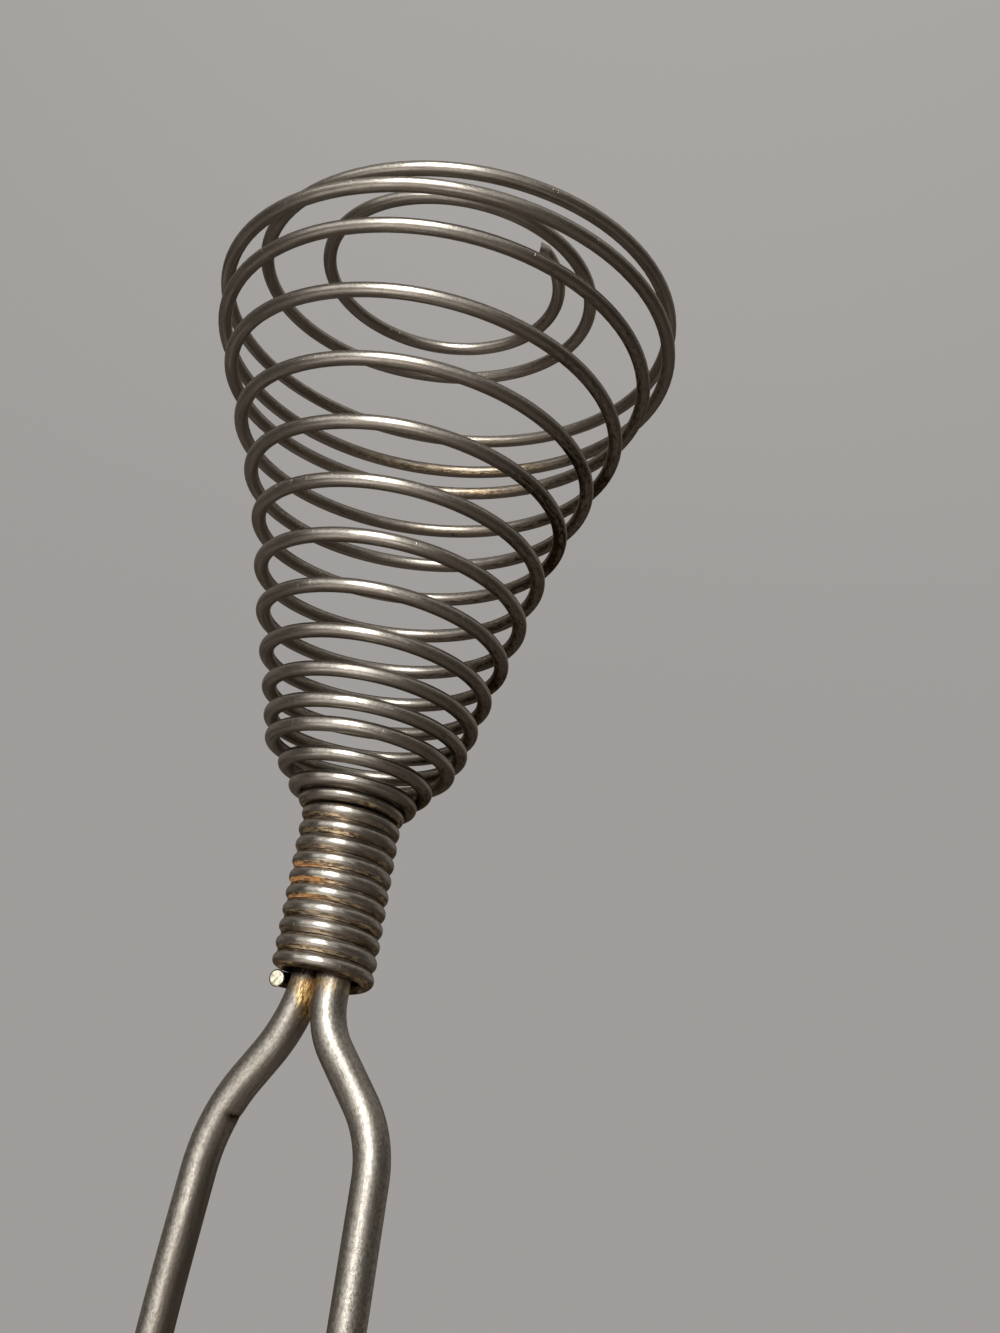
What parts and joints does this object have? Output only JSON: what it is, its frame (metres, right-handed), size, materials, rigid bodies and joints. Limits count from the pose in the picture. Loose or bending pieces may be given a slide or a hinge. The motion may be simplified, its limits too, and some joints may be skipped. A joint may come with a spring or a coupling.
{
  "type": "spiral whisk",
  "caption": "Wire whisk with a cone-shaped spring coil that turns inward at the rim, on a looped wire handle whose legs are clamped by the coil's own tight winding.",
  "frame": {"origin": "the middle of the grip, on the whisk's axis between the two legs of the handle", "axes": "+Z along the axis from the handle to the head, X across the two legs of the handle, -Y the side that the picture shows"},
  "size_m": [0.0558, 0.0552, 0.2698],
  "materials": {
    "coil_steel": "drawn steel wire, satin, grey-brown, with rust stains between the turns",
    "handle_steel": "drawn steel wire, satin, with fine marks along its length"
  },
  "bodies": {
    "handle": {"handle_wire": "handle_steel"},
    "coil": {"whisk_coil": "coil_steel"}
  },
  "joints": [
    {"name": "coil_spring", "type": "slide", "parent": "handle", "child": "coil", "axis": [0, 0, 1], "range_m": [-0.015, 0.01], "stiffness_N_per_m": 90, "deforming": ["whisk_coil"]}
  ]
}
